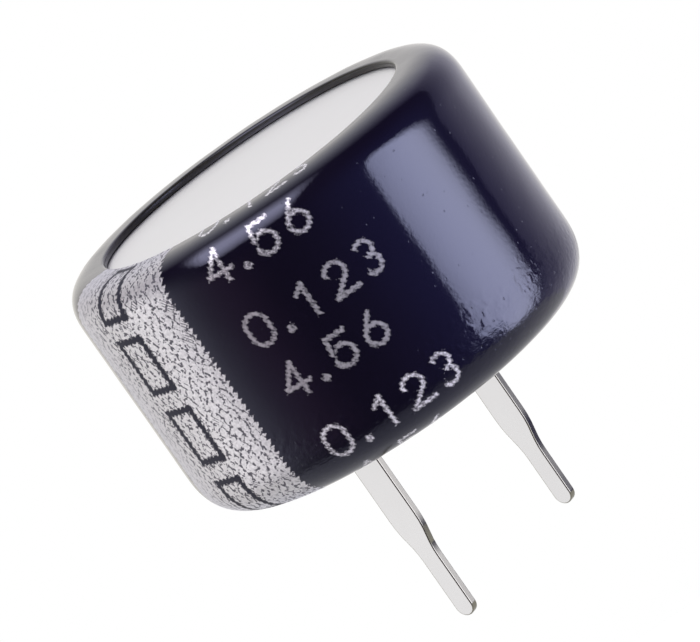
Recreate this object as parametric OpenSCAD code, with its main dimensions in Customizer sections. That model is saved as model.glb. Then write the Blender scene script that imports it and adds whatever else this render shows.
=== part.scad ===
// Coin supercapacitor: a sleeved metal can of stacked cells on two flat board pins.
// Sizes are in millimetres. Z runs up the body's axis, and Z = 0 is the seat on the board.
// Both pins stand on the X axis, the negative one on the -X side.

/* [Body] */
// Diameter over the sleeve
body_d = 11; // [9:0.1:22]
// Height from the board to the top of the sleeve
body_h = 6.8; // [5:0.1:20]

/* [Sleeve] */
// Thickness of the shrunk film
sleeve_t = 0.2; // [0.1:0.01:0.4]
// Outside radius where the film turns in over the top
top_shoulder_r = 0.82; // [0.5:0.02:1.6]
// Outside radius where the film turns in under the base
base_shoulder_r = 1.18; // [0.6:0.02:1.8]
// How far in from the side the film reaches over the top
top_lap = 1.31; // [0.9:0.01:2.5]
// How far in from the side the film reaches under the base
base_lap = 1.55; // [1.2:0.01:2.5]
// Rounding of the film's cut edges
film_edge_r = 0.05; // [0.02:0.01:0.1]

/* [Can] */
// Sheet thickness of the drawn can
can_t = 0.25; // [0.15:0.01:0.4]
// Width of the flat rim that the curl turns in under the base
curl_rim_w = 0.55; // [0.3:0.05:1]

/* [Cell stack] */
// Number of cells in series
cell_count = 6; // [2:1:8]
// Rounding of each cell's rim
cell_edge_r = 0.1; // [0.02:0.01:0.2]
// Thickness of the contact plate at each end of the stack
plate_t = 0.3; // [0.1:0.01:0.5]
// Wall of the liner between the stack and the can
liner_t = 0.2; // [0.1:0.01:0.4]
// Thickness of the moulded base above the terminal ring
base_t = 0.6; // [0.45:0.01:1.2]

/* [Terminals] */
// Distance between the pins, centre to centre
pin_pitch = 5.08; // [4:0.01:5.4]
// Length of the pins below the board seat
pin_l = 4.9; // [3.6:0.1:8]
// Sheet thickness of both terminals
pin_t = 0.2; // [0.15:0.01:0.35]
// Width of the pins where they leave the body
shank_w = 0.86; // [0.6:0.01:1.4]
// How far each side of a pin steps in at its neck
neck_step = 0.165; // [0.05:0.005:0.25]
// Length of the curved taper from shank to neck
taper_l = 1.25; // [0.4:0.05:1.3]
// Length of the negative pin's shank below the board seat
neg_shank_l = 2; // [1:0.05:2.3]
// Length of the positive pin's shank below the board seat
pos_shank_l = 2.25; // [1:0.05:2.3]
// Inside radius of the right-angle bends
bend_r = 0.15; // [0.05:0.01:0.25]
// How far the negative terminal's ring shows inside the curled rim
ring_reach = 0.45; // [0.2:0.05:0.8]
// Length of the positive terminal's welded foot, measured to its pin
foot_l = 3; // [1:0.1:5]

/* [Fits] */
// Clearance left round each nested piece
fit = 0.04; // [0.01:0.01:0.08]
// Least distance kept between the positive pin and the metal round it
pin_clear = 0.3; // [0.1:0.05:0.5]

/* [Hidden] */
$fn = 96;
// Overrun of cutting shapes past the faces they cut
cut = 0.1;
// Least radius or length that a derived feature may shrink to
least = 0.02;

FILM = [0.05, 0.045, 0.09];
NICKEL = [0.78, 0.78, 0.76];
TIN = [0.80, 0.80, 0.78];
STEEL = [0.62, 0.62, 0.62];
BLACK_MOULDING = [0.11, 0.10, 0.10];
PALE_MOULDING = [0.86, 0.84, 0.78];
RUBBER = [0.07, 0.07, 0.07];

body_r = body_d / 2;
top_opening_r = body_r - max(top_lap, top_shoulder_r + 2 * film_edge_r);
base_opening_r = body_r - max(base_lap, base_shoulder_r + 2 * film_edge_r);

can_r = body_r - sleeve_t;
can_z0 = sleeve_t;
can_z1 = body_h - sleeve_t;
can_edge_r = max(top_shoulder_r - sleeve_t, can_t + least);
curl_r = max(base_shoulder_r - sleeve_t, can_t + least);

bore_r = can_r - can_t;
bore_z0 = can_z0 + can_t;
bore_z1 = can_z1 - can_t;
bore_edge_r = can_edge_r - can_t;
curl_bore_r = curl_r - can_t;

pin_x = pin_pitch / 2;
neck_w = shank_w - 2 * neck_step;
// Nothing that carries the negative side may come inside this radius, apart from the negative pin
guard_r = pin_x + pin_t / 2 + pin_clear;
rim_r = max(can_r - curl_r - curl_rim_w, guard_r);
ring_outer_r = can_r - curl_r - fit;
ring_inner_r = max(rim_r - ring_reach, guard_r);

base_z0 = bore_z0 + pin_t;
base_z1 = base_z0 + base_t;
liner_bore_r = bore_r - fit - liner_t;
stack_r = liner_bore_r - fit;
stack_z0 = base_z1 + plate_t;
stack_z1 = bore_z1 - plate_t;
// The upper plate lies flat on the can's end, inside the rounded corner
upper_plate_r = min(stack_r, bore_r - bore_edge_r);
cells = max(1, round(cell_count));
cell_t = (stack_z1 - stack_z0) / cells;

// The taper is two equal arcs, each tangent to the straight edge that it leaves
taper_arc_r = (taper_l * taper_l + neck_step * neck_step) / (4 * neck_step);

// Half section of a round body with its own edge radius at the top and at the base
module half_section(r, z0, z1, top_r, base_r) {
    translate([0, z0 + base_r]) square([r, z1 - z0 - top_r - base_r]);
    translate([0, z1 - top_r]) square([r - top_r, top_r]);
    translate([r - top_r, z1 - top_r]) circle(top_r);
    translate([0, z0]) square([r - base_r, base_r]);
    translate([r - base_r, z0 + base_r]) circle(base_r);
}

// Half section of the can's outside, which is also the inside of the sleeve
module can_section() {
    half_section(can_r, can_z0, can_z1, can_edge_r, curl_r);
}

// Half section of the bore of the can, less a gap at its wall
module bore_section(gap) {
    half_section(bore_r - gap, bore_z0, bore_z1, max(bore_edge_r - gap, least), max(curl_bore_r - gap, least));
}

// Rounds a cut edge of the film at radius r and height z, with the film on side up (1) or down (-1)
module film_edge(r, z, side) {
    difference() {
        translate([r - film_edge_r, z - film_edge_r]) square(2 * film_edge_r);
        translate([r + film_edge_r, z + side * film_edge_r]) circle(film_edge_r);
    }
}

// Shrink film round the can, lapped over both ends
module sleeve() {
    color(FILM)
        rotate_extrude()
            difference() {
                half_section(body_r, 0, body_h, top_shoulder_r, base_shoulder_r);
                can_section();
                translate([0, can_z1 - cut]) square([top_opening_r, sleeve_t + 2 * cut]);
                translate([0, -cut]) square([base_opening_r, sleeve_t + 2 * cut]);
                film_edge(top_opening_r, body_h, -1);
                film_edge(base_opening_r, 0, 1);
            }
}

// Drawn cup with its closed end up and its rim curled in under the base
module can() {
    color(NICKEL)
        rotate_extrude()
            difference() {
                can_section();
                bore_section(0);
                translate([0, can_z0 - cut]) square([rim_r, can_t + 2 * cut]);
            }
}

// Tube that keeps the stack off the can's wall
module insulating_liner() {
    color(PALE_MOULDING)
        rotate_extrude()
            difference() {
                intersection() {
                    bore_section(fit);
                    translate([0, base_z1]) square([bore_r, bore_z1 - base_z1]);
                }
                translate([0, base_z1 - cut]) square([liner_bore_r, bore_z1 - base_z1 + 2 * cut]);
            }
}

// Disc between the top cell and the can's end
module upper_contact_plate() {
    color(STEEL)
        translate([0, 0, stack_z1]) cylinder(r = upper_plate_r, h = plate_t);
}

// Disc between the bottom cell and the positive terminal's foot
module lower_contact_plate() {
    color(STEEL)
        translate([0, 0, base_z1]) cylinder(r = stack_r, h = plate_t);
}

// Sealed rubber disc, one cell of the stack, counted from the base
module unit_cell(i) {
    z0 = stack_z0 + (i - 1) * cell_t;
    edge_r = min(cell_edge_r, 0.45 * cell_t);
    color(RUBBER)
        rotate_extrude()
            half_section(stack_r, z0, z0 + cell_t, edge_r, edge_r);
}

// Moulded disc that closes the can, with a boss inside the terminal ring and a way through for each terminal
module insulating_base() {
    slot_w = shank_w + 2 * fit;
    pin_side = pin_t / 2 + fit;
    bend_x = pin_x - pin_t / 2 - bend_r;
    color(BLACK_MOULDING)
        difference() {
            rotate_extrude() {
                intersection() {
                    bore_section(fit);
                    translate([0, base_z0]) square([bore_r, base_t]);
                }
                translate([0, bore_z0]) square([ring_inner_r - fit, pin_t]);
            }
            // Channel for the negative terminal's tab
            translate([-ring_inner_r, -slot_w / 2, bore_z0 - cut])
                cube([ring_inner_r - pin_x + pin_side, slot_w, pin_t + cut]);
            // Slot for the positive pin
            translate([bend_x, -slot_w / 2, bore_z0 - cut])
                cube([pin_x + pin_side - bend_x, slot_w, base_z1 - bore_z0 + 2 * cut]);
            // Recess for the positive terminal's foot
            translate([pin_x - foot_l - fit, -slot_w / 2, base_z1 - pin_t])
                cube([foot_l + fit, slot_w, pin_t + cut]);
        }
}

// One side of the taper, taken off a blade whose shank ends at height z
module taper_cut(z) {
    mid_z = z - taper_l / 2;
    neck_z = z - taper_l;
    difference() {
        translate([neck_w / 2, mid_z]) square([neck_step + cut, taper_l / 2]);
        translate([shank_w / 2 - taper_arc_r, z]) circle(taper_arc_r);
    }
    intersection() {
        translate([0, neck_z]) square([shank_w / 2 + cut, taper_l / 2]);
        translate([neck_w / 2 + taper_arc_r, neck_z]) circle(taper_arc_r);
    }
}

// Outline of a stamped blade: shank, curved taper, neck and round tip
module blade_outline(top_z, shank_l) {
    neck_z = -shank_l - taper_l;
    tip_z = min(neck_w / 2 - pin_l, neck_z - least);
    difference() {
        translate([-shank_w / 2, neck_z]) square([shank_w, top_z - neck_z]);
        taper_cut(-shank_l);
        mirror([1, 0]) taper_cut(-shank_l);
    }
    translate([-neck_w / 2, tip_z]) square([neck_w, neck_z - tip_z]);
    translate([0, tip_z]) circle(d = neck_w);
}

// Blade at x, with the quarter bend that joins it to a flat strip whose underside is at strip_z
module bent_pin(x, strip_z, shank_l) {
    bend_z = strip_z - bend_r;
    translate([x - pin_t / 2, 0, 0])
        rotate([90, 0, 90])
            linear_extrude(pin_t) blade_outline(bend_z, shank_l);
    translate([x - pin_t / 2 - bend_r, 0, bend_z])
        rotate([90, 0, 0])
            rotate_extrude(angle = 90)
                translate([bend_r, -shank_w / 2]) square([pin_t, shank_w]);
}

// Ring clamped by the can's curl, with a tab bent down into the negative pin
module negative_terminal() {
    tab_x0 = -(ring_inner_r + ring_outer_r) / 2;
    tab_x1 = -pin_x - pin_t / 2 - bend_r;
    color(TIN)
        union() {
            translate([0, 0, bore_z0])
                difference() {
                    cylinder(r = ring_outer_r, h = pin_t);
                    translate([0, 0, -cut]) cylinder(r = ring_inner_r, h = pin_t + 2 * cut);
                }
            translate([tab_x0, -shank_w / 2, bore_z0]) cube([tab_x1 - tab_x0, shank_w, pin_t]);
            bent_pin(-pin_x, bore_z0, neg_shank_l);
        }
}

// Foot welded under the lower contact plate, bent down into the positive pin
module positive_terminal() {
    foot_x0 = pin_x - foot_l;
    foot_x1 = pin_x - pin_t / 2 - bend_r;
    foot_z = base_z1 - pin_t;
    color(TIN)
        union() {
            translate([foot_x0, -shank_w / 2, foot_z]) cube([foot_x1 - foot_x0, shank_w, pin_t]);
            bent_pin(pin_x, foot_z, pos_shank_l);
        }
}

sleeve();
can();
insulating_liner();
upper_contact_plate();
lower_contact_plate();
insulating_base();
negative_terminal();
positive_terminal();
for (i = [1:cells]) {
    unit_cell(i);
}
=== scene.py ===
"""Coin supercapacitor: printed shrink sleeve, tinned pins, satin can and a white stage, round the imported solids."""

import math

import bmesh
import bpy
from bpy.props import FloatProperty, FloatVectorProperty, IntProperty, PointerProperty
from mathutils import Matrix, Vector


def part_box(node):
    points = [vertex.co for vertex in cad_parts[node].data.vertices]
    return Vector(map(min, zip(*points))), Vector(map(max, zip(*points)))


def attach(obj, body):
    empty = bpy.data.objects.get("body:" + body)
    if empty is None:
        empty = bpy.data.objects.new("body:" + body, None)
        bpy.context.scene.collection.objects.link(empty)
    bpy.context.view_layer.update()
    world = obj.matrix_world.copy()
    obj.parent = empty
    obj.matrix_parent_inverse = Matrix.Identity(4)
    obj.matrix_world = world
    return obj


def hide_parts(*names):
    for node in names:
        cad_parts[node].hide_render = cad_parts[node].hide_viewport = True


bl_info = {
    "name": "Coin supercapacitor",
    "version": (1, 0, 0),
    "blender": (4, 5, 0),
    "location": "3D View > Sidebar > Capacitor",
    "description": "Shrink sleeve with its print, tinned pins, metal and rubber finishes, and a white stage",
    "category": "Object",
}

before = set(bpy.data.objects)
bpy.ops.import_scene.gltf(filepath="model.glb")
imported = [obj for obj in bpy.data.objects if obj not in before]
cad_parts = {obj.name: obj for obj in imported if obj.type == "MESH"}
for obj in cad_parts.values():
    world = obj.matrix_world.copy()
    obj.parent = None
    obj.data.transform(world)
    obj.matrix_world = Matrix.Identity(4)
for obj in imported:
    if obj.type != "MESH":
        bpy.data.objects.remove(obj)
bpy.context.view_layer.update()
SLEEVE_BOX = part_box("sleeve")

MM = 0.001
# The export bakes through a map of this name, and the print is laid out on it.
WRAP_MAP = "OFBake"
# Share of the map's height that the outside takes, and the margin under each half.
HALF_MAP = 0.46
MAP_EDGE = 0.02
# Faces along each turned rim, each lap and each cut edge of the film, and cuts along its wall.
RIM_STEPS = 22
LAP_STEPS = 2
EDGE_STEPS = 4
WALL_CUTS = 23
# Points this close to a height or a radius count as lying on it.
NEAR = 0.002 * MM
NEAR_LIP = 0.02 * MM


def length(name, description, default):
    """A length that is stored in metres."""
    return FloatProperty(
        name=name, description=description, default=default, min=0, precision=6, unit="LENGTH", subtype="DISTANCE"
    )


def angle(name, description, degrees):
    """An angle that is written here in degrees."""
    return FloatProperty(
        name=name, description=description, default=math.radians(degrees), unit="ROTATION", subtype="ANGLE"
    )


def colour(name, description, default):
    """A linear colour."""
    return FloatVectorProperty(
        name=name, description=description, default=default, size=3, min=0, max=1, subtype="COLOR"
    )


def factor(name, description, default, top=1.0):
    """A plain number from 0 upwards."""
    return FloatProperty(name=name, description=description, default=default, min=0, max=top, subtype="FACTOR")


class SleeveSizes(bpy.types.PropertyGroup):
    """Form of the shrunk film."""

    sides: IntProperty(name="Sides", description="Faces round the film", default=288, min=48, max=512)
    radius: length("Radius", "Outside radius of the film", SLEEVE_BOX[1].x)
    height: length("Height", "From the board to the top of the film", SLEEVE_BOX[1].z)
    film: length("Film", "Thickness of the shrunk film", 0.2 * MM)
    top_shoulder: length("Top shoulder", "Radius of the turn onto the top", 0.82 * MM)
    top_easing: factor("Top easing", "Share by which the turn onto the top starts early", 0.3)
    base_shoulder: length("Base shoulder", "Radius of the turn under the base", 1.18 * MM)
    base_easing: factor("Base easing", "Share by which the turn under the base starts early", 0.2)
    top_lap: length("Top lap", "How far the film reaches in over the top", 1.31 * MM)
    base_lap: length("Base lap", "How far the film reaches in under the base", 1.55 * MM)
    cut_edge: length("Cut edge", "Rounding of the film's cut edges", 0.075 * MM)
    ripple: length("Ripple", "Height of the slow waves in the film", 0.006 * MM)
    wave_size: length("Wave size", "Spread of the slow waves in the film", 1.3 * MM)
    relief: length("Relief", "Depth of the fine dents and specks in the gloss", 0.004 * MM)


class PinSizes(bpy.types.PropertyGroup):
    """Finish of the stamped pins."""

    softening: length("Softening", "Rounding of the stamped edges", 0.03 * MM)
    bend: length("Bend", "Height over the board at which the blade has become the flat foot", 0.3 * MM)


class PrintSizes(bpy.types.PropertyGroup):
    """Layout of the silver print."""

    front: angle("Front", "Direction that the middle of the wrap faces", 223.3)
    stripe: angle("Stripe", "Turn from the front to the middle of the polarity stripe", -58.5)
    stripe_width: length("Stripe width", "Width of the polarity stripe", 4.17 * MM)
    outline_width: length("Outline width", "Width of each rectangle on the stripe", 1.14 * MM)
    outline_height: length("Outline height", "Height of each rectangle on the stripe", 1.62 * MM)
    outline_line: length("Outline line", "Line width of the rectangles", 0.2 * MM)
    outline_pitch: length("Outline pitch", "From one rectangle to the next", 2.045 * MM)
    outline_start: length("Outline start", "From the top edge to the first whole rectangle", 2.22 * MM)
    figures: angle("Figures", "Turn from the front to where the figures start", -24.75)
    figure_stroke: length("Figure stroke", "Line width of the figures", 0.1 * MM)
    figure_start: length("Figure start", "From the top edge to the first whole row of figures", 2.94 * MM)
    row_pitch: length("Row pitch", "From one pair of rows to the next", 3.24 * MM)
    tooth: length("Tooth", "Pitch of the fine teeth along the print's edges", 0.17 * MM)


class Finishes(bpy.types.PropertyGroup):
    """Colours and gloss of the materials."""

    film: colour("Film", "Shrink film", (0.0055, 0.0036, 0.012))
    film_tint: colour("Film tint", "Colour that the film gives to what it reflects", (0.73, 0.76, 1.0))
    film_inside: colour("Film inside", "Inside and cut edges of the film", (0.02, 0.018, 0.008))
    ink: colour("Ink", "Silver print", (0.95, 0.92, 0.93))
    ink_slant: colour("Ink at a slant", "Silver print seen along the surface", (0.77, 0.75, 0.71))
    tin: colour("Tin", "Tinned terminals", (0.8, 0.79, 0.79))
    # Bare metal of the stamped edges, made darker as painted shade along the pins' edges
    sheared: colour("Sheared edge", "Stamped edges of the terminals", (0.3, 0.285, 0.235))
    can: colour("Can", "Satin end and curl of the can", (0.87, 0.87, 0.87))
    plate: colour("Plate", "Contact plates", (0.55, 0.55, 0.54))
    moulding: colour("Moulding", "Moulded base", (0.012, 0.012, 0.013))
    liner: colour("Liner", "Plastic liner", (0.55, 0.5, 0.4))
    rubber: colour("Rubber", "Rubber of the sealed cells", (0.018, 0.018, 0.018))
    film_roughness: factor("Film roughness", "How far the film's gloss spreads", 0.08)
    tin_roughness: factor("Tin roughness", "How far the gloss of the terminals spreads", 0.26)
    sheared_roughness: factor("Sheared roughness", "How far the gloss of the stamped edges spreads", 0.12)


class StageSettings(bpy.types.PropertyGroup):
    """Camera, lamps, floor and surround."""

    azimuth: angle("Azimuth", "Turn of the camera round the object", -46.7)
    elevation: angle("Elevation", "Height of the camera over the horizon", 10.81)
    roll: angle("Roll", "Turn of the camera about its view", 34.82)
    distance: length("Distance", "From the camera to the middle of the body", 169.23 * MM)
    aim_right: length("Aim right", "From the body's middle to the picture's, along its width", 0.514 * MM)
    aim_down: length("Aim down", "From the body's middle to the picture's, along its height", 1.0 * MM)
    lens: FloatProperty(name="Lens", description="Focal length on a 36 mm wide sensor", default=363.8, unit="CAMERA")
    floor_drop: length("Floor drop", "From the board face down to the floor", 14 * MM)
    floor_radius: length("Floor radius", "Radius of the floor sheet", 22 * MM)
    floor_level: factor("Floor level", "Brightness that the floor adds for the camera and in reflections", 0.72)
    # Painted shade on the floor's glow in reflections, per millimetre to the front
    floor_painted_fade: factor("Floor fade", "Brightness that its reflection loses per millimetre to the front", 0.015)
    side_azimuth: angle("Side azimuth", "Turn from the camera to the tall lamp", 70.5)
    side_elevation: angle("Side elevation", "Height of the tall lamp's axis over the horizon", -2)
    side_lamp: factor("Side lamp", "Brightness of the tall lamp on the right", 5.95, 50)
    side_tint: colour("Side tint", "Colour of the tall lamp", (0.86, 0.875, 1.0))
    top_lamp: factor("Top lamp", "Brightness of the lamp over the camera", 4.65, 50)
    top_tint: colour("Top tint", "Colour of the lamp over the camera", (0.93, 0.895, 1.0))
    backdrop: factor("Backdrop", "Brightness of the white behind the object", 1.0, 10)
    room: factor("Room", "Brightness of the dim side behind the camera", 0.04, 10)
    left_fill: factor("Left fill", "Brightness of the soft panel on the left", 1.25, 10)
    right_tint: colour("Right tint", "Colour of the white behind, towards the right", (0.74, 0.69, 1.0))
    left_tint: colour("Left tint", "Colour of the white behind, towards the left", (1.0, 0.97, 0.91))
    right_glow: colour("Right glow", "Glow on the right of the camera", (0.1, 0.115, 0.35))
    left_glow: colour("Left glow", "Glow on the left of the camera", (0.15, 0.08, 0.12))


class Value:
    """A number from a socket, so that shader maths is written as an expression."""

    def __init__(self, nodes, socket):
        self.nodes = nodes
        self.socket = socket

    def math(self, operation, *others, first=None):
        """A Math node on this value and the others, or on a plain first one and this value."""
        terms = ([self] if first is None else [first, self]) + list(others)
        return self.nodes.add("ShaderNodeMath", {"operation": operation}, dict(enumerate(terms)))

    def __add__(self, other):
        return self.math("ADD", other)

    def __radd__(self, other):
        return self.math("ADD", other)

    def __sub__(self, other):
        return self.math("SUBTRACT", other)

    def __rsub__(self, other):
        return self.math("SUBTRACT", first=other)

    def __mul__(self, other):
        return self.math("MULTIPLY", other)

    def __rmul__(self, other):
        return self.math("MULTIPLY", other)

    def __truediv__(self, other):
        return self.math("DIVIDE", other)

    def __rtruediv__(self, other):
        return self.math("DIVIDE", first=other)

    def __abs__(self):
        return self.math("ABSOLUTE")

    def __mod__(self, other):
        return self.math("FLOORED_MODULO", other)

    def least(self, other):
        return self.math("MINIMUM", other)

    def most(self, other):
        return self.math("MAXIMUM", other)

    def root(self):
        return self.math("SQRT")

    def held(self):
        """Held between 0 and 1."""
        return self.nodes.add("ShaderNodeClamp", {}, {0: self})

    def over(self, edge, soft):
        """0 below the edge and 1 above it, with a soft step that wide."""
        return ((self - edge) / soft + 0.5).held()

    def under(self, edge, soft):
        """1 below the edge and 0 above it, with a soft step that wide."""
        return ((edge - self) / soft + 0.5).held()


class Nodes:
    """A node tree that is filled from expressions."""

    def __init__(self, tree):
        self.tree = tree

    def add(self, kind, settings=None, sockets=None, out=0):
        """Adds one node: its settings first, then the values or links of its sockets."""
        node = self.tree.nodes.new(kind)
        for key, value in (settings or {}).items():
            setattr(node, key, value)
        for key, value in (sockets or {}).items():
            self.feed(node.inputs[key], value)
        if isinstance(out, tuple):
            return [Value(self, node.outputs[k]) for k in out]
        return Value(self, node.outputs[out])

    def feed(self, socket, value):
        """Links a value to the socket, or sets a plain one on it."""
        if isinstance(value, Value):
            self.tree.links.new(value.socket, socket)
        else:
            socket.default_value = value

    def blend(self, mask, first, second):
        """Colour that goes from first to second with the mask."""
        return self.add("ShaderNodeMix", {"data_type": "RGBA"}, {0: mask, 6: first, 7: second}, out=2)

    def noise(self, place, scale, detail=2.0, rough=0.5):
        sockets = {"Vector": place, "Scale": scale, "Detail": detail, "Roughness": rough}
        return self.add("ShaderNodeTexNoise", {}, sockets)

    def dot(self, place, way):
        """How far the place lies that way."""
        return self.add("ShaderNodeVectorMath", {"operation": "DOT_PRODUCT"}, {0: place, 1: way}, out=1)

    def stretched(self, place, scale):
        return self.add("ShaderNodeMapping", {}, {"Vector": place, "Scale": scale})

    def bump(self, height, distance, strength=1.0):
        return self.add("ShaderNodeBump", {}, {"Height": height, "Distance": distance, "Strength": strength})


class Finish(Nodes):
    """A material and its one shader."""

    def __init__(self, name):
        self.material = bpy.data.materials.new(name)
        self.material.use_nodes = True
        super().__init__(self.material.node_tree)
        self.shader = self.tree.nodes["Principled BSDF"]

    def place(self):
        """Object coordinates."""
        return self.add("ShaderNodeTexCoord", out=3)

    def shades(self, mask, base, dark, pale=1.0):
        """The base colour, from its dark share to its pale share with the mask."""
        first, second = (rgba(min(1.0, c * share) for c in base) for share in (dark, pale))
        return self.blend(mask, first, second)

    def set(self, sockets):
        """Feeds the shader's sockets and returns the material."""
        for key, value in sockets.items():
            self.feed(self.shader.inputs[key], value)
        return self.material


def rgba(values):
    """The colour with full alpha."""
    return (*values, 1.0)


def start_fresh():
    """Object mode with nothing selected."""
    if bpy.context.object and bpy.context.object.mode != "OBJECT":
        bpy.ops.object.mode_set(mode="OBJECT")
    bpy.ops.object.select_all(action="DESELECT")


def start_editing(piece):
    """Edit mode on that piece alone."""
    start_fresh()
    piece.select_set(True)
    bpy.context.view_layer.objects.active = piece
    bpy.ops.object.mode_set(mode="EDIT")


def pick(piece, kind, test):
    """In edit mode, selects only the edges or faces that pass the test on their points."""
    bpy.ops.mesh.select_mode(type={"edges": "EDGE", "faces": "FACE"}[kind])
    bpy.ops.mesh.select_all(action="DESELECT")
    mesh = bmesh.from_edit_mesh(piece.data)
    found = 0
    for part in getattr(mesh, kind):
        if test([v.co for v in part.verts]):
            part.select_set(True)
            found += 1
    mesh.select_flush_mode()
    bmesh.update_edit_mesh(piece.data)
    if not found:
        raise RuntimeError(f"{piece.name}: none of the {kind} was found")


def finish_with(piece, kind, **settings):
    """Adds a modifier and applies it."""
    modifier = piece.modifiers.new(kind.title(), kind)
    for key, value in settings.items():
        setattr(modifier, key, value)
    bpy.ops.object.modifier_apply(modifier=modifier.name)


def give(piece, material, slot):
    """The piece's only material. The slot is not used."""
    piece.data.materials.clear()
    piece.data.materials.append(material)


def radius_of(point):
    """Distance from the body's axis."""
    return math.hypot(point.x, point.y)


class SleeveProfile:
    """Arc length and depth on the film's section, in millimetres."""

    def __init__(self, size):
        self.radius, self.height = size.radius / MM, size.height / MM
        self.top, self.base = size.top_shoulder / MM, size.base_shoulder / MM
        self.film = size.film / MM
        # Arc lengths from the top opening to where each stretch of the section starts
        self.to_shoulder = size.top_lap / MM - self.top
        self.to_wall = self.to_shoulder + self.top * math.pi / 2
        self.to_turn = self.to_wall + self.height - self.top - self.base
        self.to_base = self.to_turn + self.base * math.pi / 2
        self.end = self.to_base + size.base_lap / MM - self.base

    def at(self, point):
        """Arc length from the top opening, and depth under the outside."""
        r, z = radius_of(point) / MM, point.z / MM
        over, under = z - (self.height - self.top), self.base - z
        if over > 0:
            out = r - (self.radius - self.top)
            if out <= 0:
                return self.to_shoulder + out, self.top - over
            return self.to_shoulder + self.top * math.atan2(out, over), self.top - math.hypot(out, over)
        if under > 0:
            out = r - (self.radius - self.base)
            if out <= 0:
                return self.to_base - out, self.base - under
            return self.to_turn + self.base * math.atan2(under, out), self.base - math.hypot(out, under)
        return self.to_wall + self.height - self.top - z, self.radius - r


class CAP_OT_sleeve(bpy.types.Operator):
    """Shrunk film with both turned-in ends, and its silver print"""

    bl_idname = "cap.sleeve"
    bl_label = "Printed sleeve"

    def execute(self, context):
        scene = context.scene
        piece = shape_sleeve(scene.cap_sleeve)
        wrap_sleeve(piece, scene.cap_sleeve, scene.cap_print)
        film = PrintedFilm(scene.cap_sleeve, scene.cap_print, scene.cap_finishes)
        give(piece, film.finished(), "sleeve_film")
        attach(piece, "root")
        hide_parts("sleeve")
        return {"FINISHED"}


def shape_sleeve(size):
    """A drum whose rims are rolled over, opened at both ends and given the film's thickness."""
    start_fresh()
    bpy.ops.mesh.primitive_cylinder_add(
        vertices=size.sides, radius=size.radius, depth=size.height, location=(0, 0, size.height / 2)
    )
    piece = bpy.context.object
    piece.name = piece.data.name = "shrink_sleeve"
    bpy.ops.object.transform_apply(location=True)
    start_editing(piece)
    roll_rim(piece, size.height, size.top_shoulder, size.top_easing, size.top_lap)
    roll_rim(piece, 0, size.base_shoulder, size.base_easing, size.base_lap)
    wall = size.height - size.top_shoulder - size.base_shoulder
    pick(piece, "edges", lambda points: abs(points[0].z - points[1].z) > wall / 2)
    bpy.ops.mesh.subdivide(number_cuts=WALL_CUTS)
    bpy.ops.mesh.select_all(action="SELECT")
    bpy.ops.mesh.normals_make_consistent(inside=False)
    bpy.ops.object.mode_set(mode="OBJECT")
    finish_with(piece, "SOLIDIFY", thickness=size.film, offset=-1, use_even_offset=True, use_rim=True)
    round_cut_edges(piece, size)
    waves = bpy.data.textures.new("film_waves", "CLOUDS")
    waves.noise_scale, waves.noise_depth = size.wave_size, 1
    finish_with(piece, "DISPLACE", texture=waves, texture_coords="LOCAL", strength=2 * size.ripple, mid_level=0.5)
    bpy.ops.object.shade_smooth_by_angle(angle=math.radians(35))
    return piece


def roll_rim(piece, z, shoulder, easing, lap):
    """Rounds the rim at that height, then turns in a flat lap and opens the end inside it."""
    # A turn that starts early keeps its shoulder by a fuller profile.
    turn = shoulder * (1 + easing)
    pick(piece, "edges", lambda points: all(abs(p.z - z) < NEAR for p in points))
    bpy.ops.mesh.bevel(
        offset_type="OFFSET", offset=turn, segments=RIM_STEPS, profile=0.5 + easing / 3, affect="EDGES"
    )
    pick(piece, "faces", lambda points: len(points) > 4 and all(abs(p.z - z) < NEAR for p in points))
    for _ in range(LAP_STEPS):
        bpy.ops.mesh.inset(thickness=(lap - turn) / LAP_STEPS, use_even_offset=True)
    bpy.ops.mesh.delete(type="FACE")


def round_cut_edges(piece, size):
    """Rounds both edges of the film's cut at each end."""
    top, base = size.radius - size.top_lap, size.radius - size.base_lap
    lips = ((size.height, top), (size.height - size.film, top), (0, base), (size.film, base))

    def on_lip(points, z, r):
        return all(abs(p.z - z) < NEAR and abs(radius_of(p) - r) < NEAR_LIP for p in points)

    start_editing(piece)
    pick(piece, "edges", lambda points: any(on_lip(points, z, r) for z, r in lips))
    bpy.ops.mesh.bevel(offset_type="OFFSET", offset=size.cut_edge, segments=EDGE_STEPS, profile=0.5, affect="EDGES")
    bpy.ops.object.mode_set(mode="OBJECT")


def wrap_sleeve(piece, size, layout):
    """Lays the film out flat: round the body along the map's width, and along the section up its height."""
    profile = SleeveProfile(size)
    mesh = piece.data
    flat = mesh.uv_layers.active or mesh.uv_layers.new()
    flat.name = WRAP_MAP
    seam = layout.front - math.pi
    for face in mesh.polygons:
        turn = ((math.atan2(face.center.y, face.center.x) - seam) / math.tau) % 1
        inside = profile.at(face.center)[1] > profile.film * 0.9
        for k in face.loop_indices:
            point = mesh.vertices[mesh.loops[k].vertex_index].co
            across = ((math.atan2(point.y, point.x) - seam) / math.tau) % 1
            across += round(turn - across)
            along, depth = profile.at(point)
            if not inside:
                along += depth if along > profile.end / 2 else -depth
            share = (along + profile.film) / (profile.end + 2 * profile.film)
            flat.data[k].uv = (across, MAP_EDGE + HALF_MAP * share + (0.5 if inside else 0))


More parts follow.
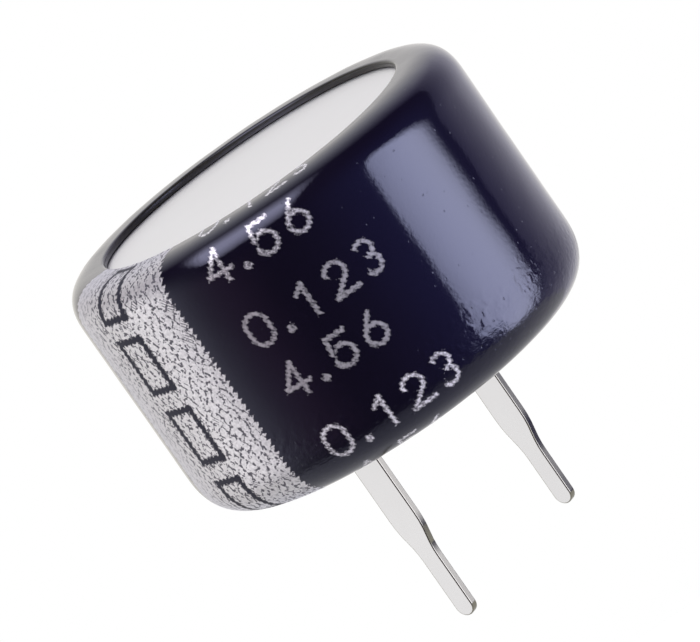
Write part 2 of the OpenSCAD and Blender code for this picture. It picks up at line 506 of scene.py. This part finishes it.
def figure_lines(x, y):
    """Distance from the lines of plain counting figures in two rows: 0.123 and, lower down, 4.56."""

    def hypot(a, b):
        return (a * a + b * b).root()

    def level(x0, x1, at):
        return (abs(x - (x0 + x1) / 2) - (x1 - x0) / 2).most(abs(y - at))

    def upright(at, y0, y1):
        return abs(x - at).most(abs(y - (y0 + y1) / 2) - (y1 - y0) / 2)

    def slope(x0, y0, x1, y1):
        dx, dy = x1 - x0, y1 - y0
        share = (((x - x0) * dx + (y - y0) * dy) / (dx * dx + dy * dy)).held()
        return hypot(x - x0 - share * dx, y - y0 - share * dy)

    def ring(cx, cy, r):
        return abs(hypot(x - cx, y - cy) - r)

    def tall_ring(cx, y0, y1, r):
        return abs(hypot(x - cx, (abs(y - (y0 + y1) / 2) - (y1 - y0) / 2).most(0)) - r)

    def arc(cx, cy, r, ax, ay, most):
        """The part of a ring that reaches no further than that towards the side (ax, ay)."""
        return ring(cx, cy, r).most((x - cx) * ax + (y - cy) * ay - most)

    def nearest(lines):
        found = lines[0]
        for line in lines[1:]:
            found = found.least(line)
        return found

    first = nearest(
        [
            tall_ring(0.35, 0.36, 0.61, 0.28),
            ring(1.02, 0.85, 0.045),
            upright(1.76, 0.08, 0.89),
            slope(1.76, 0.09, 1.54, 0.26),
            arc(2.58, 0.33, 0.25, -0.5, 0.87, 0.09),
            slope(2.795, 0.46, 2.34, 0.87),
            level(2.32, 2.9, 0.89),
            arc(3.43, 0.29, 0.215, -0.87, 0.5, 0.05),
            arc(3.43, 0.68, 0.225, -0.87, -0.5, 0.05),
        ]
    )
    y = y - 1.44
    second = nearest(
        [
            slope(0.45, 0.1, 0.07, 0.65),
            level(0.05, 0.66, 0.66),
            upright(0.47, 0.08, 0.89),
            ring(1.02, 0.85, 0.045),
            level(1.49, 1.96, 0.08),
            slope(1.49, 0.1, 1.45, 0.46),
            arc(1.69, 0.62, 0.27, -0.87, -0.5, 0.17),
            ring(2.58, 0.64, 0.25),
            slope(2.34, 0.55, 2.66, 0.09),
        ]
    )
    return first.least(second)


class PrintedFilm(Finish):
    """Glossy dark film with silver print, worked out in millimetres on the film laid flat."""

    def __init__(self, size, layout, colours):
        super().__init__("printed_film")
        self.size, self.layout, self.colours = size, layout, colours
        self.profile = SleeveProfile(size)
        wrap = self.add("ShaderNodeUVMap", {"uv_map": WRAP_MAP})
        across, along = self.add("ShaderNodeSeparateXYZ", {}, {0: wrap}, out=(0, 1))
        # Round the body from its front, and along the section from the top opening
        self.s = (across - 0.5) * (math.tau * self.profile.radius)
        self.v = (along - MAP_EDGE) * ((self.profile.end + 2 * self.profile.film) / HALF_MAP) - self.profile.film
        self.spot = self.add("ShaderNodeCombineXYZ", {}, {0: self.s, 1: self.v})
        self.outside = self.v.over(0.02, 0.02) * self.v.under(self.profile.end - 0.02, 0.02)
        # What both prints share: how far their teeth stray, how ragged their edges are, and where the ink is thin
        self.drift = self.noise(self.spot, scale=3.0, detail=1.0) * 0.7
        self.ragged = self.noise(self.spot, scale=24.0) - 0.5
        self.broken = self.noise(self.spot, scale=11.0, detail=1.0)
        # A few patches are hatched with fine slanting lines.
        patches = self.noise(self.spot, scale=2.3, detail=1.0).over(0.66, 0.06)
        self.hatch = abs(((self.s - self.v) / 0.1 + self.drift * 0.5) % 1 - 0.5).under(0.13, 0.1) * patches

    def teeth(self, way, slant):
        """Fine slanting teeth along that way, from 0 to 1."""
        return abs(((way + slant * 0.5) / (self.layout.tooth / MM) + self.drift) % 1 - 0.5) * 2

    def leaning(self, degrees):
        """Distance from the middle of wavy lines that lean that far."""
        sockets = {"Vector": self.spot, "Scale": 3.3, "Frequency": 1.3, "Anisotropy": 1.0}
        # Two of this node's sockets are called Orientation. The first one is for the flat pattern.
        sockets[4] = math.radians(degrees)
        return abs(self.add("ShaderNodeTexGabor", {"gabor_type": "2D"}, sockets, out=1) - 0.5)

    def marks(self, x):
        """Short dark marks on the stripe that lean both ways, and are fainter on its left."""
        rising = (self.broken - 0.46) * 1.1
        falling = (self.noise(self.spot, scale=12.0, detail=1.0) - 0.47) * 1.1
        found = self.leaning(-30).under(rising, 0.1).most(self.leaning(35).under(falling, 0.1))
        return found * (x.over(-1.2, 0.8) * 0.6 + 0.3)

    def stripe(self):
        """The polarity stripe, and the ink on it, which leaves out the rectangles' lines and the dark marks."""
        layout = self.layout
        x = self.s - layout.stripe * self.profile.radius
        y = (self.v - layout.outline_start / MM) % (layout.outline_pitch / MM)
        width, height = layout.outline_width / MM, layout.outline_height / MM
        line, soft = layout.outline_line / MM, 0.03
        up_teeth, round_teeth = self.teeth(self.v, self.s), self.teeth(self.s, self.v)
        edge = abs(x) + up_teeth * 0.12 + self.ragged * 0.1
        stripe = edge.under(layout.stripe_width / MM / 2 + 0.06, soft)
        beside, above = abs(x) - (width - line) / 2, abs(y - height / 2) - (height - line) / 2
        on_side = abs(beside).most(above) + up_teeth * 0.06
        on_end = abs(above).most(beside) + round_teeth * 0.06
        outline = (on_side.least(on_end) + self.ragged * 0.15).under(line / 2 + 0.02, soft)
        return stripe, stripe * (1 - outline) * (1 - self.marks(x).most(self.hatch) * 0.95)

    def figures(self, painted_light_rows):
        """Ink of the rows of plain figures, fuller where the mask paints light on them."""
        row = (self.v - self.layout.figure_start / MM) % (self.layout.row_pitch / MM)
        lines = figure_lines(self.s - self.layout.figures * self.profile.radius, row)
        lines = lines + self.ragged * 0.1 + (self.teeth(self.v, self.s * -2) - 0.5) * 0.045
        # Painted light: fuller ink makes the top and bottom rows brighter.
        thin = self.broken.over(0.38, 0.34) * (0.8 + painted_light_rows * 0.2) * (1 - self.hatch * 0.8)
        return lines.under(self.layout.figure_stroke / MM / 2, 0.05) * thin

    def silver(self, stripe):
        """Colour of the ink: clouded, duller at a slant, and darkened with painted shade where the stripe turns onto
        the top.
        """
        ink = self.colours.ink
        cloud = self.noise(self.spot, scale=13.0).over(0.5, 0.3)
        slant = self.add("ShaderNodeLayerWeight", {}, {"Blend": 0.5}, out=1).over(0.55, 0.6)
        # Painted shade: the stripe's ink darkens to half on the top lap and the upper shoulder.
        painted_top_shade = stripe * self.v.under(self.profile.to_wall - 0.53, 0.7) * (self.broken + 0.2)
        shade = self.blend(slant, self.shades(cloud, ink, 0.74), rgba(self.colours.ink_slant))
        return self.blend(painted_top_shade, shade, rgba(c * 0.5 for c in ink))

    def bumps(self, ink, low):
        """Height of the ink, of fine waves and specks all over, and of creases and dents towards the base."""
        spot, turn = self.spot, self.profile.to_turn
        waves = self.noise(self.place(), scale=1800.0, detail=1.0) * 0.2 + self.noise(spot, scale=9.0) * 0.4
        speck, chance = self.add(
            "ShaderNodeTexVoronoi", {"voronoi_dimensions": "2D"}, {"Vector": spot, "Scale": 3.2}, out=(0, 1)
        )
        pits = (speck + self.ragged * 0.2).under(0.05 + low * 0.03, 0.06) * (chance + low * 0.35).over(0.78, 0.2)
        creases = self.noise(spot, scale=2.4, rough=0.6) * 2.2
        creases += self.noise(self.stretched(spot, (0.7, 1.4, 1.0)), scale=6.0, rough=0.6) * 2.8
        dents = self.noise(spot, scale=4.0, detail=1.0).over(0.58, 0.2)
        dents *= self.v.over(turn - 0.68, 0.8) * self.v.under(turn + 0.02, 0.6) * (1 - self.s.over(5.0, 0.8) * 0.7)
        return waves + creases * low + dents * 1.3 - pits * 1.2 + ink * 0.4

    def finished(self):
        """The material with both prints on it."""
        wall, turn = self.profile.to_wall, self.profile.to_turn
        lower = self.v.over(turn - 0.68, 0.5)
        low = self.v.over(turn - 0.28, 1.4) * self.v.under(turn + 0.72, 0.8)
        stripe, stripe_ink = self.stripe()
        # The mask of painted light on the figures takes in the rows low on the wall and those near the top.
        figure_ink = self.figures(lower.most(self.v.under(wall + 0.72, 0.5)))
        ink = stripe_ink.most(figure_ink) * self.outside
        deep = self.shades(self.noise(self.place(), scale=420.0), self.colours.film, 0.8, 1.2)
        deep = self.blend(self.outside, rgba(self.colours.film_inside), deep)
        # The print, the cut edges and the stripe's bare gaps are matt, and the turn under the base is scuffed.
        matt = stripe.most(ink).most(1 - self.outside) * 0.24 + stripe * (1 - ink) * 0.3
        scuffs = low * self.noise(self.spot, scale=3.0) * 0.2
        return self.set(
            {
                "Base Color": self.blend(ink, deep, self.silver(stripe)),
                "Metallic": ink * (0.5 - figure_ink * lower * 0.5),
                "Roughness": self.colours.film_roughness + matt.most(scuffs),
                "IOR": 1.6,
                "Specular Tint": rgba(self.colours.film_tint),
                "Normal": self.bump(self.bumps(ink, low), self.size.relief),
            }
        )


class CAP_OT_pins(bpy.types.Operator):
    """Both stamped terminals, with their sheared edges softened"""

    bl_idname = "cap.pins"
    bl_label = "Board pins"

    def execute(self, context):
        scene = context.scene
        colours = scene.cap_finishes
        tin = tinned("terminal_tin", colours.tin, colours.tin_roughness)
        sheared = tinned("sheared_edge", colours.sheared, colours.sheared_roughness)
        for node, name in (("negative_terminal", "negative_pin"), ("positive_terminal", "positive_pin")):
            piece = soften_pin(scene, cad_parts[node], name)
            give(piece, tin, "terminal_tin")
            piece.data.materials.append(sheared)
            # The rolled faces are tinned, and the stamped edges round them are bare metal whose dark colour is partly
            # painted shade along the edges.
            for face in piece.data.polygons:
                rolled = face.normal.x if face.center.z < scene.cap_pins.bend else face.normal.z
                face.material_index = 1 if abs(rolled) < 0.99 else 0
            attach(piece, "root")
            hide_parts(node)
        return {"FINISHED"}


def soften_pin(scene, node, name):
    """A copy of the solid with whole faces and rounded edges."""
    piece = bpy.data.objects.new(name, node.data.copy())
    piece.data.name = name
    scene.collection.objects.link(piece)
    start_editing(piece)
    bpy.ops.mesh.select_all(action="SELECT")
    bpy.ops.mesh.remove_doubles(threshold=0.0005 * MM)
    bpy.ops.mesh.dissolve_limited(angle_limit=math.radians(1))
    bpy.ops.object.mode_set(mode="OBJECT")
    bpy.ops.object.shade_smooth_by_angle(angle=math.radians(40))
    finish_with(
        piece,
        "BEVEL",
        width=scene.cap_pins.softening,
        segments=3,
        limit_method="ANGLE",
        angle_limit=math.radians(50),
        harden_normals=True,
    )
    return piece


def tinned(name, base, rough):
    """Tin over stamped strip, with faint drawing lines down the blade."""
    f = Finish(name)
    place = f.place()
    lines = f.noise(f.stretched(place, (9000.0, 9000.0, 700.0)), scale=1.0, detail=3.0, rough=0.6)
    cloud = f.noise(place, scale=900.0, detail=3.0, rough=0.6)
    return f.set(
        {
            "Base Color": f.shades(cloud, base, 0.94),
            "Metallic": 1.0,
            "Roughness": rough + (cloud - 0.5) * 0.1,
            "Normal": f.bump(lines, 0.001 * MM, 0.06),
        }
    )


class CAP_OT_body(bpy.types.Operator):
    """Finishes of the can, the base and all that the can holds"""

    bl_idname = "cap.body"
    bl_label = "Can and inside"

    def execute(self, context):
        colours = context.scene.cap_finishes
        plate = satin("plate_metal", colours.plate, 0.4)
        cell = rubber("cell_rubber", colours.rubber, 0.72)
        looks = {
            "can": (satin("can_metal", colours.can, 0.5), "can_metal"),
            "upper_contact_plate": (plate, "plate_metal"),
            "lower_contact_plate": (plate, "plate_metal"),
            "insulating_base": (moulded("black_moulding", colours.moulding, 0.42), "black_moulding"),
            "insulating_liner": (moulded("pale_moulding", colours.liner, 0.5), "pale_moulding"),
        }
        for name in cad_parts:
            if name.startswith("unit_cell"):
                looks[name] = (cell, "cell_rubber")
        for name, (material, slot) in looks.items():
            give(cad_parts[name], material, slot)
        return {"FINISHED"}


def satin(name, base, rough):
    """Drawn metal with a fine matt grain."""
    f = Finish(name)
    place = f.place()
    grain = f.noise(place, scale=14000.0, rough=0.7)
    cloud = f.noise(place, scale=300.0, detail=3.0)
    return f.set(
        {
            "Base Color": f.shades(cloud, base, 0.93),
            "Metallic": 1.0,
            "Roughness": rough + (cloud - 0.5) * 0.08,
            "Normal": f.bump(grain, 0.002 * MM, 0.35),
        }
    )


def moulded(name, base, rough):
    """Moulded plastic with a fine spark-eroded grain."""
    f = Finish(name)
    place = f.place()
    grain = f.noise(place, scale=9000.0, detail=3.0, rough=0.6)
    cloud = f.noise(place, scale=500.0)
    return f.set(
        {
            "Base Color": f.shades(cloud, base, 0.85, 1.12),
            "Roughness": rough + (grain - 0.5) * 0.12,
            "Normal": f.bump(grain, 0.006 * MM, 0.5),
        }
    )


def rubber(name, base, rough):
    """Conductive rubber, matt and slightly mottled."""
    f = Finish(name)
    mottle = f.noise(f.place(), scale=1800.0, detail=4.0, rough=0.6)
    return f.set(
        {
            "Base Color": f.shades(mottle, base, 0.7, 1.4),
            "Roughness": rough + (mottle - 0.5) * 0.2,
            "Normal": f.bump(mottle, 0.01 * MM, 0.5),
        }
    )


class CAP_OT_stage(bpy.types.Operator):
    """White floor and surround, two soft lamps and the camera"""

    bl_idname = "cap.stage"
    bl_label = "Stage"

    def execute(self, context):
        scene = context.scene
        stage = scene.cap_stage
        middle = Vector((0, 0, scene.cap_sleeve.height / 2))
        lay_floor(stage)
        hang_side_lamp(stage, middle)
        hang_top_lamp(stage, middle)
        light_room(scene, stage)
        place_camera(scene, stage, middle)
        scene.view_settings.view_transform = "Standard"
        return {"FINISHED"}


def towards(azimuth, elevation):
    """Unit vector from the object to that side. Azimuth 0 is -Y and 90 is +X."""
    flat = math.cos(elevation)
    return Vector((math.sin(azimuth) * flat, -math.cos(azimuth) * flat, math.sin(elevation)))


def lay_floor(stage):
    """Pale round sheet, white to the camera apart from the shadow on it. Its glow in reflections dims to the front as
    painted shade.
    """
    start_fresh()
    bpy.ops.mesh.primitive_circle_add(
        vertices=96, radius=stage.floor_radius, fill_type="NGON", location=(0, 0, -stage.floor_drop)
    )
    floor = bpy.context.object
    floor.name = "floor"
    f = Finish("floor_white")
    camera, glossy, clear = f.add("ShaderNodeLightPath", out=(0, 3, 6))
    mirrored = glossy.most(clear)
    # Painted shade: the glow that reflections see loses brightness towards the camera's side.
    to_front = f.dot(f.place(), towards(stage.azimuth, 0)).most(0) / MM
    glow_with_painted_shade = stage.floor_level - to_front * stage.floor_painted_fade
    f.set(
        {
            "Base Color": f.blend(mirrored, rgba((0.8, 0.8, 0.8)), rgba((0, 0, 0))),
            "Roughness": 0.9,
            "Specular IOR Level": 0.0,
            "Emission Color": camera * stage.floor_level + mirrored * glow_with_painted_shade.held(),
            "Emission Strength": 1.0,
        }
    )
    floor.data.materials.append(f.material)


def hang_lamp(name, spot, right, up, width, height, radiance, tint):
    """A flat lamp with its own axes. Returns its shader's nodes and the place on it, from 0 to 1 each way."""
    start_fresh()
    bpy.ops.object.light_add(type="AREA")
    lamp = bpy.context.object
    lamp.name = name
    lamp.matrix_world = Matrix.Translation(spot) @ Matrix((right, up, right.cross(up))).transposed().to_4x4()
    lamp.visible_camera = False
    lamp.data.shape = "RECTANGLE"
    lamp.data.size, lamp.data.size_y = width, height
    lamp.data.energy = radiance * math.pi * width * height
    lamp.data.color = tint
    lamp.data.use_nodes = True
    n = Nodes(lamp.data.node_tree)
    here = n.add("ShaderNodeNewGeometry", out=0)

    def along(axis, size):
        return (n.dot(here, axis) - spot.dot(axis)) / size + 0.5

    return n, along(right, width), along(up, height)


def hang_side_lamp(stage, middle):
    """Tall lamp on the right, brightest in its middle. Its right side starts lower and ends lower."""
    away, drop, width, height = 0.15, 0.025, 0.143, 0.22
    back = towards(stage.azimuth + stage.side_azimuth, stage.side_elevation)
    right = Vector((0, 0, 1)).cross(back).normalized()
    up = back.cross(right)
    spot = middle + back * away - up * drop
    n, u, v = hang_lamp("side_lamp", spot, right, up, width, height, stage.side_lamp, stage.side_tint)
    # How far a place lies in the left end and in the right end
    left, far = (1 - u / 0.22).most(0), (u - 0.6).most(0)
    foot = (v - 0.266 + u.over(0.4, 0.15) * 0.224) / 0.108
    sides = u.least(1 - u) / 0.07
    top = (v + u * 0.247 + u * u * 0.107 + far * 0.093 + left * left * 0.263).under(0.859, 0.116)
    swell = 1 - (u - 0.53) * (u - 0.53) * 1.6 - far * far * 3.6
    n.feed(n.tree.nodes["Emission"].inputs["Color"], sides.least(foot).held() * top * swell)


def hang_top_lamp(stage, middle):
    """Wide lamp overhead on the camera's side. All its edges are soft, and both sides slant."""
    high, wide, deep = 0.12, 1.9, 2.25
    right, ahead = towards(stage.azimuth + math.pi / 2, 0), towards(stage.azimuth, 0)
    spot = middle + Vector((0, 0, high)) - right * (0.5 * high) + ahead * (0.875 * high)
    n, u, v = hang_lamp("top_lamp", spot, right, -ahead, wide * high, deep * high, stage.top_lamp, stage.top_tint)
    # Measured in heights, to the camera's right and away from it
    x, y = u * wide - 1.45, v * deep - 2.0
    level = (y + x * 0.35).under(-0.2, 0.62) * y.over(-1.3, 1.3)
    sides = (x - y * 0.745).over(-0.56, 0.3) * (x - y * 0.12).under(0.23, 0.2)
    n.feed(n.tree.nodes["Emission"].inputs["Color"], level * sides)


def light_room(scene, stage):
    """White to the camera. In reflections it is bright behind the object and on the left, and dim to the front."""
    scene.world = bpy.data.worlds.new("white_room")
    scene.world.use_nodes = True
    n = Nodes(scene.world.node_tree)
    side = n.add("ShaderNodeTexCoord", out=0)
    white = rgba((1, 1, 1))

    def facing(azimuth, elevation):
        """1 towards that side, counted in degrees from the camera, and 0 from a right angle to it."""
        where = towards(stage.azimuth + math.radians(azimuth), math.radians(elevation))
        return n.dot(side, where).most(0)

    # A low white wall behind the object, and a high one that is softer
    low, high = facing(175, -15), facing(178, 35)
    behind = ((low * 1.25 - 0.167) * low.over(0.35, 0.02)).most((high - 0.6) * 2.6).held() * stage.backdrop
    to_right = facing(100, -10).over(0.3, 0.6) * (1.15 - behind * 0.8).held()
    to_left = facing(-145, -8).over(0.7, 0.5)
    shade = n.blend(to_left, n.blend(to_right, white, rgba(stage.right_tint)), rgba(stage.left_tint))
    light = n.add("ShaderNodeVectorMath", {"operation": "SCALE"}, {0: shade, "Scale": behind + stage.room})
    glows = (
        (facing(-95, -5), 8.5, [stage.left_fill] * 3),
        (facing(60, -10), 4.0, stage.right_glow),
        (facing(-48, -10), 20.0, stage.left_glow),
    )
    for mask, focus, tint in glows:
        sockets = {0: mask.math("POWER", focus), 6: light, 7: rgba(tint)}
        light = n.add("ShaderNodeMix", {"data_type": "RGBA", "blend_type": "ADD"}, sockets, out=2)
    camera = n.add("ShaderNodeLightPath", out=0)
    n.feed(n.tree.nodes["Background"].inputs["Color"], n.blend(camera, light, white))


def place_camera(scene, stage, middle):
    """Camera turned about its view, and aimed beside the body's middle."""
    start_fresh()
    back = towards(stage.azimuth, stage.elevation)
    level = Vector((math.cos(stage.azimuth), math.sin(stage.azimuth), 0))
    upright = back.cross(level)
    c, s = math.cos(stage.roll), math.sin(stage.roll)
    right, up = level * c - upright * s, level * s + upright * c
    spot = middle + back * stage.distance
    aim = middle + right * stage.aim_right - up * stage.aim_down
    back = (spot - aim).normalized()
    right = (right - back * right.dot(back)).normalized()
    up = back.cross(right)
    bpy.ops.object.camera_add()
    camera = bpy.context.object
    camera.name = "camera"
    camera.matrix_world = Matrix.Translation(spot) @ Matrix((right, up, back)).transposed().to_4x4()
    camera.data.sensor_width = 36
    camera.data.sensor_fit = "HORIZONTAL"
    camera.data.lens = stage.lens
    camera.data.clip_start, camera.data.clip_end = 0.01, 10
    scene.camera = camera


class CAP_PT_panel(bpy.types.Panel):
    """Steps and sizes of the capacitor"""

    bl_label = "Coin supercapacitor"
    bl_idname = "CAP_PT_panel"
    bl_space_type = "VIEW_3D"
    bl_region_type = "UI"
    bl_category = "Capacitor"

    def draw(self, context):
        for step in STEPS:
            self.layout.operator(step.bl_idname)
        for key, (group, title) in GROUPS.items():
            box = self.layout.box()
            box.label(text=title)
            for name in group.__annotations__:
                box.prop(getattr(context.scene, key), name)


STEPS = (CAP_OT_body, CAP_OT_sleeve, CAP_OT_pins, CAP_OT_stage)
GROUPS = {
    "cap_sleeve": (SleeveSizes, "Sleeve"),
    "cap_pins": (PinSizes, "Pins"),
    "cap_print": (PrintSizes, "Print"),
    "cap_finishes": (Finishes, "Finishes"),
    "cap_stage": (StageSettings, "Stage"),
}


def register():
    for key, (group, title) in GROUPS.items():
        bpy.utils.register_class(group)
        setattr(bpy.types.Scene, key, PointerProperty(name=title, type=group))
    for made in (*STEPS, CAP_PT_panel):
        bpy.utils.register_class(made)


def unregister():
    for made in (CAP_PT_panel, *reversed(STEPS)):
        bpy.utils.unregister_class(made)
    for key, (group, _) in GROUPS.items():
        delattr(bpy.types.Scene, key)
        bpy.utils.unregister_class(group)


def main():
    register()
    bpy.ops.cap.body()
    bpy.ops.cap.sleeve()
    bpy.ops.cap.pins()
    bpy.ops.cap.stage()
    start_fresh()


if __name__ == "__main__":
    main()
